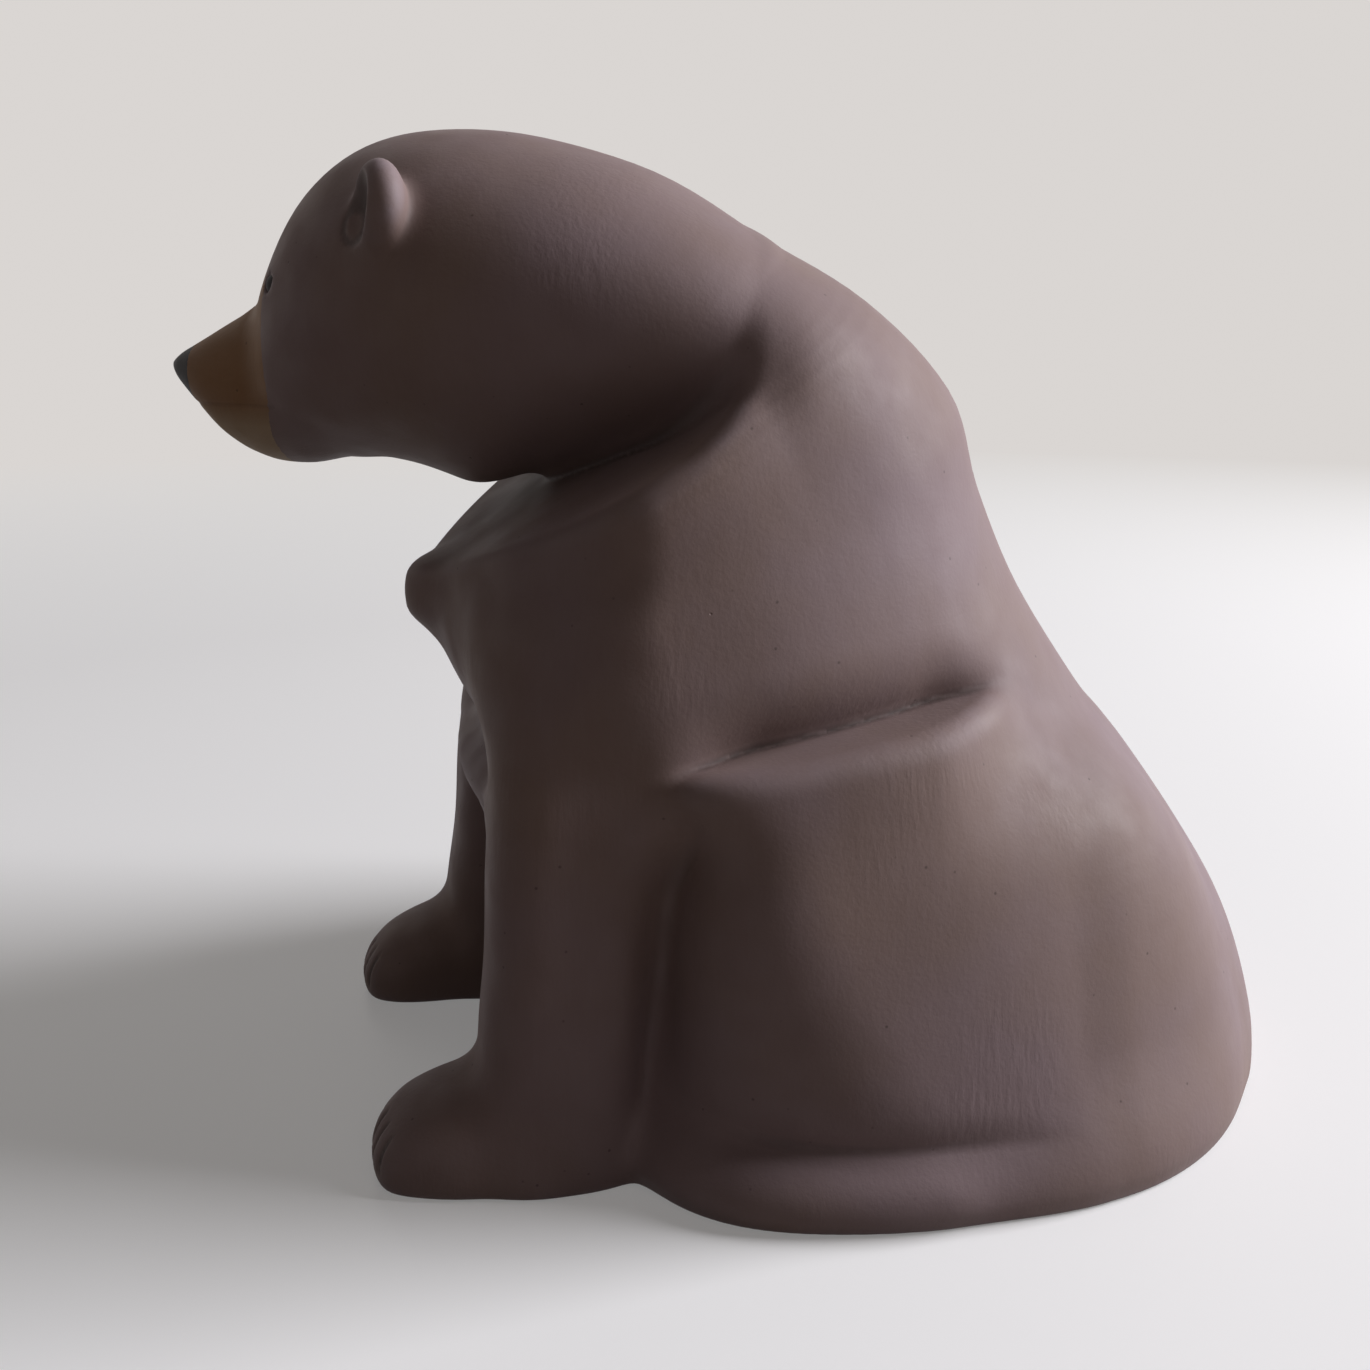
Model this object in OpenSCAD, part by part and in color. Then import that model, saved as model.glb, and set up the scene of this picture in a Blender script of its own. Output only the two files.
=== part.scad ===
// Seated bear sculpture: hollow painted ceramic sections, pinned and bonded along their creases.
// The bear faces -Y, its left side is +X, and it stands on the plane Z = 0.

/* [Figure] */
// Width across the hind feet
figure_width = 248; // [210:1:298]
// Length from the chest to the rump
figure_length = 271; // [230:1:326]
// Height of the crown above the table
figure_height = 283; // [236:1:340]
// Angle by which the head looks to the bear's right
head_turn = 18; // [0:1:25]

/* [Shell] */
// Wall of the hollow torso and head
wall = 8; // [6:0.5:10]
// Thickness of the plate that closes the underside
base_thickness = 6; // [4:0.5:10]
// Bonding gap between two sections
seat_gap = 0.2; // [0.1:0.05:0.4]
// Height of the hind feet below the haunches
foot_height = 20; // [16:0.5:24]

/* [Joints] */
// Bore through the torso and the head at the neck
neck_bore = 68; // [56:1:82]
// Wall of the sleeve in the neck bore
sleeve_wall = 5; // [4:0.5:7]
// Length of the neck sleeve
sleeve_length = 26; // [20:1:32]
// Diameter of the pins in the legs and feet
pin_d = 8; // [6:0.5:10]
// Length of the pins in the legs and feet
pin_length = 26; // [20:1:30]
// Diameter of the pins in the face and ears
small_pin_d = 4; // [3:0.5:5]
// Length of the pins in the face and ears
small_pin_length = 12; // [9:0.5:14]
// Play all round a pin, sleeve or bead in its hole
pin_play = 0.15; // [0.1:0.05:0.25]
// Vent hole through the base plate
vent_d = 14; // [10:1:20]

/* [Face] */
// Height of an ear
ear_height = 31; // [26:0.5:37]
// Width of an ear
ear_width = 24; // [20:0.5:29]
// Thickness of an ear
ear_thickness = 14; // [12:0.5:17]
// Depth of the hollow in an ear
ear_hollow = 5; // [3:0.25:6]
// Diameter of an eye bead
eye_d = 7; // [6:0.25:8.5]
// Length of the black nose pad
nose_length = 9; // [7:0.25:11]

/* [Hidden] */

// Colours of the paint, the snout, the nose and the bare inner pieces
paint = "#6b5b5c";
tan = "#7a6048";
black = "#1d191a";
clay = "#b9a48f";
beech = "#c9a878";

// The rows below were drawn at this size and are stretched to the figure's own size
drawn_size = [248, 271, 283];
figure_size = [figure_width, figure_length, figure_height];
stretch = [for (i = [0 : 2]) figure_size[i] / drawn_size[i]];

// Points around a section and steps between two rows
torso_sides = 44;
limb_sides = 28;
torso_steps = 2;
limb_steps = 2;
// Facets of a pin, bore or bead
round_sides = 32;
// Side of the blocks that cut a form at a plane, and length of a hole right through
far = 900;
// How far a hollow runs past the face that it opens
cut_over = 1;
// The hollow of an ear as a share of the ear, and how far it sits above the ear's middle
hollow_share = 0.7;
hollow_lift = ear_height / 12;
// The nose pin is a short one
nose_pin_length = small_pin_length / 2;
// The neck bore clears the sleeve and the walls at both of its ends
neck_bore_depth = sleeve_length + 2 * wall;

// A row is one section: front or lower Y and Z, back or upper Y and Z, centre X, half width, squareness
collar_front = [-122, 160];
collar_back = [5, 239];
throat_y = -92;
throat_share = (throat_y - collar_front[0]) / (collar_back[0] - collar_front[0]);
throat = collar_front + throat_share * (collar_back - collar_front);

// Height of the seat between hind foot and haunch, in the drawn size
seat_z = foot_height / stretch[2];

torso_rows = [
    [-74, 0, 141, 0, 0, 94, 3],
    [-84, 22, 142, 20, 0, 96, 2.9],
    [-94, 47, 136, 45, 0, 96, 2.7],
    [-101, 72, 119, 75, 0, 95, 2.5],
    [-107, 92, 101, 100, 0, 93, 2.4],
    [-104, 113, 81, 123, 0, 92, 2.4],
    [-113, 133, 58, 155, 0, 90, 2.4],
    [-121, 147, 42, 186, 0, 88, 2.4],
    [-124, 156, 32, 213, 0, 86, 2.3],
    [collar_front[0], collar_front[1], collar_back[0], collar_back[1], 0, 84, 2.2]
];
head_rows = [
    [throat[0], throat[1], collar_back[0], collar_back[1], 0, 70, 2.2],
    [-100, 184, -20, 255, 0, 69, 2.2],
    [-110, 187, -51, 272, 0, 66, 2.2],
    [-120, 190, -81, 280.5, 0, 63, 2.2],
    [-131, 192, -107, 282.5, 0, 58, 2.2],
    [-142, 193.5, -127, 279, 0, 52, 2.2],
    [-153, 194, -143, 269, 0, 42, 2.2],
    [-162, 198, -156, 253, 0, 30, 2.2],
    [-168, 206, -165, 239, 0, 18, 2.2]
];
// For each head row, its share of the head's turn and how far it flares towards the nape
turn_shares = [0, 0.1, 0.35, 0.65, 0.9, 1, 1, 1, 1];
nape_flares = [0.24, 0.16, 0.07, 0, 0, 0, 0, 0, 0];
muzzle_rows = [
    [-152, 192, -152, 241, 0, 27, 2.2],
    [-166, 191, -163, 237, 0, 25, 2.2],
    [-177, 197, -173, 232, 0, 21, 2.2],
    [-184, 205, -182, 227, 0, 17, 2.2],
    [-190, 212, -189, 223, 0, 12, 2.2],
    [-194, 217, -193.5, 221, 0, 6, 2.2]
];
haunch_rows = [
    [-65, seat_z, 98, seat_z, 70, 46, 2.2],
    [-63, 45, 96, 46, 70, 45, 2.2],
    [-62, 78, 86, 84, 69, 43, 2.2],
    [-62, 102, 64, 113, 66, 42, 2.2],
    [-72, 119, 34, 135, 63, 41, 2.3]
];
foot_rows = [
    [-72, 0, 99, 0, 75, 47, 2.2],
    [-74, 8, 102, 8, 75, 49, 2.2],
    [-69, seat_z, 99, seat_z, 74, 46, 2.2]
];
foreleg_rows = [
    [-114, -4, -73, -4, 60, 22, 2.6],
    [-114, 30, -72, 30, 60, 23, 2.6],
    [-111, 60, -70, 60, 61, 24, 2.6],
    [-110, 86, -68, 86, 62, 24, 2.6],
    [-108, 112, -67, 112, 61, 24.5, 2.6],
    [-108, 130, -67, 130, 58, 25, 2.4],
    [-107, 148, -70, 148, 53, 24, 2.3],
    [-106, 160, -78, 164, 49, 22, 2.3]
];
paw_rows = [
    [-74, -10, -78, 22, 61, 20, 2.6],
    [-100, -10, -100, 29, 60, 22, 2.6],
    [-118, -10, -118, 27, 59, 22, 2.6],
    [-132, -8, -132, 22, 58, 19, 2.6],
    [-141, -5, -140, 16, 58, 14, 2.6],
    [-145, 1, -144.5, 11, 58, 8, 2.6]
];

// Places on the drawn figure
neck_pivot = at([0, -55, 0]);
// The direction from the face to the back of the turned head
face_back = [sin(head_turn), cos(head_turn), 0];
mouth_z = at([0, 0, 207.5])[2];
nose_tip = at([0, -194, 219]);
muzzle_pin_at = at([0, -168, 222]);
jaw_pin_at = at([0, -174, 207.5]);
eye_at = at([31.5, -150, 240]);
ear_at = at([55, -115, 255.5]);
ear_splay = 124;
ear_lean = 30;
// The ear's pin lies behind the hollow, where the ear meets the head
ear_pin_at = [ear_hollow / 2, 0, -ear_height / 10];
foreleg_pins_at = [at([63, -90, 100]), at([64, -90, 132])];
haunch_pins_at = [at([93, -5, 55]), at([92, 45, 55])];
foot_pins_at = [at([105, -8, 0]), at([104, 42, 0])];
vent_at = at([0, 35, 0]);

// The plane of the collar and the sleeve on it
collar_foot = at([0, collar_front[0], collar_front[1]]);
collar_head = at([0, collar_back[0], collar_back[1]]);
collar_rise = collar_head - collar_foot;
collar_tilt = atan2(collar_rise[2], collar_rise[1]);
sleeve_share = (throat_share + 1) / 2;
sleeve_at = collar_foot + sleeve_share * collar_rise;

// A drawn point stretched to the figure's size
function at(p) = [p[0] * stretch[0], p[1] * stretch[1], p[2] * stretch[2]];

// A drawn row stretched to the figure's size
function fitted(r) = [
    r[0] * stretch[1], r[1] * stretch[2], r[2] * stretch[1], r[3] * stretch[2],
    r[4] * stretch[0], r[5] * stretch[0], r[6]
];

// Point at t of the curve from b to c, with a before and d after
function curve(a, b, c, d, t) =
    0.5 * (2 * b + (c - a) * t + (2 * a - 5 * b + 4 * c - d) * t ^ 2 + (3 * b - a - 3 * c + d) * t ^ 3);

// Rows with a number of steps between each pair
function smooth(rows, steps) = [
    for (i = [0 : len(rows) - 2], j = [0 : steps - 1])
        curve(rows[max(i - 1, 0)], rows[i], rows[i + 1], rows[min(i + 2, len(rows) - 1)], j / steps),
    rows[len(rows) - 1]
];

// One coordinate of a rounded square, from that of a circle
function squared(v, square) = sign(v) * abs(v) ^ (2 / square);

// The points of one row, moved outward by grow
function ring(row, sides, grow) =
    let (
        low = [row[0], row[1]],
        high = [row[2], row[3]],
        middle = (low + high) / 2,
        reach = norm(high - low) / 2,
        along = (high - low) / (2 * reach)
    )
    [
        for (k = [0 : sides - 1])
            let (
                angle = 360 * k / sides,
                across = (row[5] + grow) * squared(sin(angle), row[6]),
                up = (reach + grow) * squared(cos(angle), row[6])
            )
            [row[4] + across, middle[0] + along[0] * up, middle[1] + along[1] * up]
    ];

function rings(rows, sides, steps, grow = 0) = [
    for (row = smooth([for (r = rows) fitted(r)], steps)) ring(row, sides, grow)
];

// A point turned about the upright axis of the neck
function turned(p, angle) =
    let (d = p - neck_pivot)
    [d[0] * cos(angle) - d[1] * sin(angle), d[0] * sin(angle) + d[1] * cos(angle), d[2]] + neck_pivot;

function head_rings(grow) =
    let (
        straight = rings(head_rows, torso_sides, torso_steps, grow),
        shares = smooth([for (s = turn_shares) [s]], torso_steps),
        flares = smooth([for (f = nape_flares) [f]], torso_steps)
    )
    [
        for (i = [0 : len(straight) - 1])
            [
                for (k = [0 : torso_sides - 1])
                    let (
                        p = straight[i][k],
                        widening = 1 + flares[i][0] * cos(360 * k / torso_sides)
                    )
                    turned([p[0] * widening, p[1], p[2]], -head_turn * shares[i][0])
            ]
    ];

// The middle of a list of points
function mean(points) = [for (i = [0 : 2]) [for (p = points) p[i]] * [for (p = points) 1] / len(points)];

// A closed skin of triangles over a run of rings
module skin(run) {
    sides = len(run[0]);
    last = len(run) - 1;
    points = concat([for (r = run, p = r) p], [mean(run[0]), mean(run[last])]);
    foot = sides * (last + 1);
    polyhedron(
        points,
        concat(
            [
                for (i = [0 : last - 1], k = [0 : sides - 1], half = [0, 1])
                    let (
                        next = (k + 1) % sides,
                        a = i * sides + k,
                        b = i * sides + next,
                        c = a + sides,
                        d = b + sides
                    )
                    half == 0 ? [a, b, d] : [a, d, c]
            ],
            [for (k = [0 : sides - 1]) [foot, (k + 1) % sides, k]],
            [for (k = [0 : sides - 1]) [foot + 1, last * sides + k, last * sides + (k + 1) % sides]]
        ),
        convexity = 8
    );
}

// Evaluates its children together as one mesh
module one_mesh() {
    resize([0, 0, 0]) children();
}

module on_collar() {
    translate(sleeve_at) rotate([collar_tilt, 0, 0]) children();
}

module above_collar(offset) {
    on_collar() translate([-far / 2, -far / 2, offset]) cube(far);
}

module below_collar(offset) {
    on_collar() translate([-far / 2, -far / 2, offset - far]) cube(far);
}

// Places its children in the frame of the turned head
module with_head() {
    translate(neck_pivot) rotate([0, 0, -head_turn]) translate(-neck_pivot) children();
}

module mirrored(side) {
    mirror([side == "right" ? 1 : 0, 0, 0]) children();
}

module both_sides() {
    children();
    mirror([1, 0, 0]) children();
}

// The solid forms that the sections are cut from
module torso_form(grow) {
    skin(rings(torso_rows, torso_sides, torso_steps, grow));
}

module torso_cavity() {
    below = [for (p = rings(torso_rows, torso_sides, torso_steps, -wall)[0]) p - [0, 0, cut_over]];
    intersection() {
        skin(concat([below], rings(torso_rows, torso_sides, torso_steps, -wall)));
        below_collar(-wall);
    }
}

module head_form(grow) {
    skin(head_rings(grow));
}

// The head with the bonding gap at its sides and in front of its face
module head_seat() {
    translate(-seat_gap * face_back) head_form(seat_gap);
}

// The hollow of the head, which keeps the wall behind the face as well
module head_cavity() {
    intersection() {
        head_form(-wall);
        translate(wall * face_back) head_form(0);
        above_collar(wall);
    }
}

module muzzle_form() {
    with_head() skin(rings(muzzle_rows, limb_sides, limb_steps));
}

module foreleg_form(grow) {
    intersection() {
        union() {
            skin(rings(foreleg_rows, limb_sides, limb_steps, grow));
            skin(rings(paw_rows, limb_sides, limb_steps, grow));
        }
        translate([-far / 2, -far / 2, 0]) cube(far);
    }
}

// Pins and the holes that they sit in, where play widens a hole
module pin(d, length) {
    cylinder(h = length, d = d, center = true, $fn = round_sides);
}

module foreleg_pin_set(play) {
    for (p = foreleg_pins_at)
        translate(p) rotate([0, 90, 0]) pin(pin_d + 2 * play, pin_length + 2 * play);
}

module haunch_pin_set(play) {
    for (p = haunch_pins_at)
        translate(p) rotate([0, 90, 0]) pin(pin_d + 2 * play, pin_length + 2 * play);
}

module foot_pin_set(play) {
    for (p = foot_pins_at)
        translate([p[0], p[1], foot_height]) pin(pin_d + 2 * play, pin_length + 2 * play);
}

module face_pin_set(play) {
    d = small_pin_d + 2 * play;
    length = small_pin_length + 2 * play;
    with_head() {
        translate(muzzle_pin_at) rotate([90, 0, 0]) pin(d, length);
        translate([jaw_pin_at[0], jaw_pin_at[1], mouth_z]) pin(d, length);
        translate(nose_tip + [0, nose_length, 0]) rotate([90, 0, 0]) pin(d, nose_pin_length + 2 * play);
    }
}

// An ear's own frame: Z up its height, X through its thickness
module at_ear() {
    translate(ear_at) rotate([0, ear_lean, 0]) rotate([0, 0, ear_splay]) children();
}

module ear_form(share) {
    resize([ear_thickness, ear_width * share, ear_height * share]) sphere(d = 1, $fn = limb_sides);
}

module ear_pin(play) {
    at_ear() translate(ear_pin_at) pin(small_pin_d + 2 * play, small_pin_length + 2 * play);
}

module ear_pin_set(play) {
    with_head() both_sides() ear_pin(play);
}

module neck_hole() {
    on_collar() pin(neck_bore, neck_bore_depth);
}

// The sections and fittings
module torso_shell() {
    color(paint)
        difference() {
            one_mesh()
                difference() {
                    torso_form(0);
                    torso_cavity();
                }
            neck_hole();
            both_sides() {
                foreleg_pin_set(pin_play);
                haunch_pin_set(pin_play);
            }
        }
}

module head_shell() {
    color(paint)
        difference() {
            head_form(0);
            below_collar(seat_gap);
            one_mesh() head_cavity();
            neck_hole();
            face_pin_set(pin_play);
            ear_pin_set(pin_play);
            with_head() both_sides() translate(eye_at) sphere(d = eye_d + 2 * pin_play, $fn = round_sides);
        }
}

// The front part of the snout, which the nose pad covers
module nose_block(grow) {
    with_head() translate([-far / 2, nose_tip[1] + nose_length - far - grow, -far / 2]) cube(far);
}

module under_mouth(grow) {
    translate([-far / 2, -far / 2, mouth_z - far + grow]) cube(far);
}

module muzzle() {
    color(tan)
        difference() {
            one_mesh()
                difference() {
                    muzzle_form();
                    head_seat();
                    nose_block(0);
                    under_mouth(0);
                }
            face_pin_set(pin_play);
        }
}

module lower_jaw() {
    color(tan)
        difference() {
            one_mesh()
                intersection() {
                    difference() {
                        muzzle_form();
                        head_seat();
                        nose_block(0);
                    }
                    under_mouth(-seat_gap);
                }
            face_pin_set(pin_play);
        }
}

module nose() {
    color(black)
        difference() {
            one_mesh()
                intersection() {
                    muzzle_form();
                    nose_block(seat_gap);
                }
            face_pin_set(pin_play);
        }
}

module eye(side) {
    color(black) with_head() mirrored(side) translate(eye_at) sphere(d = eye_d, $fn = round_sides);
}

module ear(side) {
    color(paint)
        difference() {
            one_mesh()
                difference() {
                    with_head()
                        mirrored(side)
                            at_ear()
                                difference() {
                                    ear_form(1);
                                    translate([ear_hollow - ear_thickness, 0, hollow_lift])
                                        ear_form(hollow_share);
                                }
                    head_form(seat_gap);
                }
            with_head() mirrored(side) ear_pin(pin_play);
        }
}

module foreleg(side) {
    color(paint)
        mirrored(side)
            difference() {
                one_mesh()
                    difference() {
                        foreleg_form(0);
                        torso_form(seat_gap);
                    }
                foreleg_pin_set(pin_play);
            }
}

module haunch(side) {
    color(paint)
        mirrored(side)
            difference() {
                one_mesh()
                    difference() {
                        skin(rings(haunch_rows, limb_sides, limb_steps));
                        torso_form(seat_gap);
                        foreleg_form(seat_gap);
                    }
                haunch_pin_set(pin_play);
                foot_pin_set(pin_play);
            }
}

module hind_foot(side) {
    color(paint)
        mirrored(side)
            difference() {
                one_mesh()
                    difference() {
                        skin(rings(foot_rows, limb_sides, limb_steps));
                        torso_form(seat_gap);
                        foreleg_form(seat_gap);
                    }
                foot_pin_set(pin_play);
            }
}

module base_plate() {
    outline = [for (p = rings(torso_rows, torso_sides, torso_steps, -wall - seat_gap)[0]) [p[0], p[1]]];
    color(clay)
        difference() {
            linear_extrude(base_thickness) polygon(outline);
            translate(vent_at) pin(vent_d, far);
        }
}

module neck_sleeve() {
    color(clay)
        on_collar()
            difference() {
                pin(neck_bore - 2 * pin_play, sleeve_length);
                pin(neck_bore - 2 * pin_play - 2 * sleeve_wall, far);
            }
}

module face_pins() {
    color(beech) face_pin_set(0);
}

module ear_pins() {
    color(beech) ear_pin_set(0);
}

module foreleg_pins() {
    color(beech) both_sides() foreleg_pin_set(0);
}

module haunch_pins() {
    color(beech) both_sides() haunch_pin_set(0);
}

module hind_foot_pins() {
    color(beech) both_sides() foot_pin_set(0);
}

torso_shell();
head_shell();
muzzle();
lower_jaw();
nose();
eye("left");  // eye_left
eye("right");  // eye_right
ear("left");  // ear_left
ear("right");  // ear_right
foreleg("left");  // foreleg_left
foreleg("right");  // foreleg_right
haunch("left");  // haunch_left
haunch("right");  // haunch_right
hind_foot("left");  // hind_foot_left
hind_foot("right");  // hind_foot_right
base_plate();
neck_sleeve();
face_pins();
ear_pins();
foreleg_pins();
haunch_pins();
hind_foot_pins();
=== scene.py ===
# A seated bear of painted ceramic sections. The whole figure is sculpted as one smooth field of distance,
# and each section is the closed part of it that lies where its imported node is.
import math
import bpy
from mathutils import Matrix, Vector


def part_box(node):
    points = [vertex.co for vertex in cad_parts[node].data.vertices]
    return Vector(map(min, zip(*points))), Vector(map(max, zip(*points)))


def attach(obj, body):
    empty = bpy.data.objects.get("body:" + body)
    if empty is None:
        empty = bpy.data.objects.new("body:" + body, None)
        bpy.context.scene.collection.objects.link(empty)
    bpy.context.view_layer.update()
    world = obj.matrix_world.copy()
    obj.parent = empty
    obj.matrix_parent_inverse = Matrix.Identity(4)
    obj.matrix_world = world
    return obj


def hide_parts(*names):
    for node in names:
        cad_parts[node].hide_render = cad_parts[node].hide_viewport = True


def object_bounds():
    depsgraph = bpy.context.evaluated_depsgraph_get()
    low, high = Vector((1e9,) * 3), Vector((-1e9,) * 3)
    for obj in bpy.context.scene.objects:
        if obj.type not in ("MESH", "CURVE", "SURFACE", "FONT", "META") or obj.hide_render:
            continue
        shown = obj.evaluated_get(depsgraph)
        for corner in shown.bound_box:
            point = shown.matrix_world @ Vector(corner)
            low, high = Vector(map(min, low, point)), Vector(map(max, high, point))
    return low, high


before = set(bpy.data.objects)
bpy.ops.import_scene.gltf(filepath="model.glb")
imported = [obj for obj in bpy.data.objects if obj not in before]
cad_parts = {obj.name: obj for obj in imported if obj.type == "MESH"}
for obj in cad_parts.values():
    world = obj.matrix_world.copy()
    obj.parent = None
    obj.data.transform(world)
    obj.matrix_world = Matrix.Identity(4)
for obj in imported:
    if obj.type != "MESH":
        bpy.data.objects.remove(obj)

from concurrent.futures import ThreadPoolExecutor

import bpy
import numpy as np
import openvdb
from mathutils import Vector

# The forms below are drawn in millimetres, on a figure of this height
FIGURE_HEIGHT = 282.5
CAD_BOX = [list(corner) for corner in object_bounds()]
MM = (CAD_BOX[1][2] - CAD_BOX[0][2]) / FIGURE_HEIGHT

# A row is one section of a form: front or lower Y and Z, back or upper Y and Z, centre X, half width,
# and how square its front or lower half and its back or upper half are
TORSO_ROWS = [
    (-74, -14, 141, -14, 0, 96, 3.6, 3.2),
    (-74, 0, 141, 0, 0, 96, 3.6, 3.2),
    (-84, 22, 141.5, 20, 0, 97, 3.6, 2.9),
    (-94, 47, 135.5, 45, 0, 97, 3.0, 2.7),
    (-101, 72, 119, 75.5, 0, 96, 2.65, 2.5),
    (-107, 90, 101.5, 100, 0, 95, 2.5, 2.4),
    (-111, 101.5, 92, 111.5, 0, 94.5, 2.5, 2.4),
    (-104, 113, 81, 123.5, 0, 94, 2.6, 2.4),
    (-113.5, 133, 58.5, 155, 1, 92, 2.3, 2.4),
    (-119, 144, 42.5, 186.5, 2, 89, 1.8, 2.4),
    (-122, 150, 32.5, 213.5, 3, 86, 1.5, 2.3),
    (-122, 160, 3, 236, 4, 84, 1.3, 2.2),
    (-136, 180, -30, 244, 4, 68, 1.3, 2.2),
]
# For each torso row, how far its widest place lies from its middle, as a share of half its length
TORSO_LEANS = (0, 0, 0, -0.1, -0.2, -0.3, -0.35, -0.4, -0.4, -0.35, -0.25, -0.15, 0)
HEAD_ROWS = [
    (-62, 120, 28, 160, 0, 50, 2.2, 2.2),
    (-80, 152, 21, 203, 0, 61, 2.2, 2.2),
    (-92, 178, 0, 234.5, 0, 67, 1.8, 2.1),
    (-100, 183, -20, 253.5, 0, 69, 1.8, 2.0),
    (-110, 187, -50.5, 271.5, 0, 67, 1.8, 1.9),
    (-120, 190, -81, 280.3, 0, 63, 1.9, 2.0),
    (-131, 192, -107, 283, 0, 58, 2.1, 2.1),
    (-142, 193.5, -127, 279.5, 0, 52, 2.2, 2.2),
    (-153, 194, -143.5, 269, 0, 42, 2.2, 2.2),
    (-162, 198, -156, 253, 0, 30, 2.2, 2.2),
    (-168, 206, -165, 239.5, 0, 18, 2.2, 2.2),
]
# The head's turn, and how often a point's place along the turned head is worked out anew
HEAD_TURN = math.radians(18)
TURN_ROUNDS = 2
# For each head row, its share of the turn and how far it flares towards the nape
TURN_SHARES = (0, 0, 0, 0.1, 0.35, 0.65, 0.9, 1, 1, 1, 1)
NAPE_FLARES = (0, 0.28, 0.4, 0.32, 0.2, 0.1, 0.04, 0, 0, 0, 0)
NECK_PIVOT = (0, -55)
MUZZLE_ROWS = [
    (-140, 197, -140, 242, 0, 28, 2.2, 2.2),
    (-152, 192, -152, 241, 0, 27, 2.2, 2.2),
    (-166, 191, -163, 237, 0, 25, 2.2, 2.2),
    (-177, 197, -173, 232, 0, 21, 2.2, 2.2),
    (-184.5, 205.2, -182, 227, 0, 17, 2.2, 2.2),
    (-190.7, 212.4, -189.5, 223, 0, 12, 2.2, 2.2),
    (-195, 217, -194.5, 221, 0, 6, 2.2, 2.2),
]
FORELEG_ROWS = [
    (-114, -14, -72, -14, 60, 23, 2.8, 3.0),
    (-114, 30, -70, 30, 60, 24, 2.8, 3.0),
    (-111, 60, -68, 60, 61, 24.5, 2.8, 3.0),
    (-110, 86, -66, 86, 62, 24, 2.8, 3.0),
    (-108, 112, -64, 112, 61, 24.5, 2.6, 2.8),
    (-108, 130, -64, 130, 57, 25, 2.1, 2.5),
    (-107, 148, -68, 148, 50, 24, 1.8, 2.2),
    (-106, 160, -78, 164, 44, 20, 1.7, 2.0),
]
PAW_ROWS = [
    (-74, -10, -78, 22, 61, 20, 2.6, 2.6),
    (-100, -10, -100, 29, 60, 22, 2.6, 2.6),
    (-118, -10, -118, 27, 59, 22, 2.6, 2.6),
    (-132, -8, -132, 22, 58, 19, 2.6, 2.6),
    (-141, -5, -140, 16, 58, 14, 2.6, 2.6),
    (-145, 1, -144.5, 11, 58, 8, 2.6, 2.6),
]
HAUNCH_ROWS = [
    (-64, -14, 98, -14, 70, 48, 1.9, 2.2),
    (-65, 20, 100, 20, 70, 48, 1.9, 2.2),
    (-63, 45, 98, 46, 70, 46, 2.3, 2.1),
    (-62, 78, 87, 84, 69, 43, 2.8, 2.1),
    (-62, 100, 64, 112, 66, 42, 2.8, 2.1),
    (-76, 117, 40, 143, 63, 41, 2.7, 2.1),
    (-80, 128, 30, 154, 58, 37, 2.5, 2.1),
    (-84, 140, 20, 166, 52, 32, 2.5, 2.1),
]
# For each haunch row, how far its widest place lies from its middle, as a share of half its length
HAUNCH_LEANS = (0, -0.1, -0.28, -0.45, -0.45, -0.25, -0.2, -0.2)
FOOT_ROWS = [
    (-70, -14, 98, -14, 75, 46, 2.2, 2.2),
    (-72, 0, 100, 0, 75, 47, 2.2, 2.2),
    (-74, 8, 103, 8, 75, 49, 2.2, 2.2),
    (-69, 20, 100, 20, 74, 46, 2.2, 2.2),
    (-64, 34, 94, 34, 72, 40, 2.2, 2.2),
    (-60, 48, 88, 48, 70, 36, 2.2, 2.2),
]
# Steps between two rows, and how much the sides of sharp sections are rounded off
SMOOTH_STEPS = 6
SIDE_ROUNDING = 0.3
# How round the ends of the forms are
TORSO_END = 20
HEAD_END = 14
MUZZLE_END = 6
FORELEG_END = 14
PAW_END = 6
HAUNCH_END = 1
FOOT_END = 1

# The ledges: Y and Z at the front and the back of their planes, and how round their lips are
COLLAR_FRONT = (-124, 159)
COLLAR_BACK = (5, 239)
# How far the collar rises towards the nape, and where along Y
COLLAR_LIFT = (30, -62, 8)
COLLAR_LIP = 5
HAUNCH_FRONT = (-72, 119.5)
HAUNCH_BACK = (32, 134.5)
HAUNCH_LIP = 7
FOOT_TOP = 21
FOOT_LIP = 12
# How far the ledges of the haunch and the foot sink into the body, and where along it
HAUNCH_SINK = (11, 0, 42)
HAUNCH_SINK_HEIGHT = 45
FOOT_SINK = (4, 0, 55)
# How a wall tucks in above a ledge: depth, height, and where along Y it starts, is full, fades and ends
NECK_TUCK = (15, 34, -108, -86, -78, -26)
FLANK_TUCK = (10, 22, -72, -40, 4, 36)
THIGH_TUCK = (2.5, 11, -60, -35, 0, 45)
# The valley between foreleg and thigh: depth, middle and half width along Y, and where it fades upwards
VALLEY = (11, -57, 24, 85, 116)
# The knob at the front of the collar
KNOB_AT = (5, -115, 154)
KNOB_RADII = (12, 10, 8)
KNOB_FILLET = 10
# How far the right foreleg stands back, and the heights between which that starts
RIGHT_LEG_BACK = 4
RIGHT_LEG_HEIGHTS = (20, 115)

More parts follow.
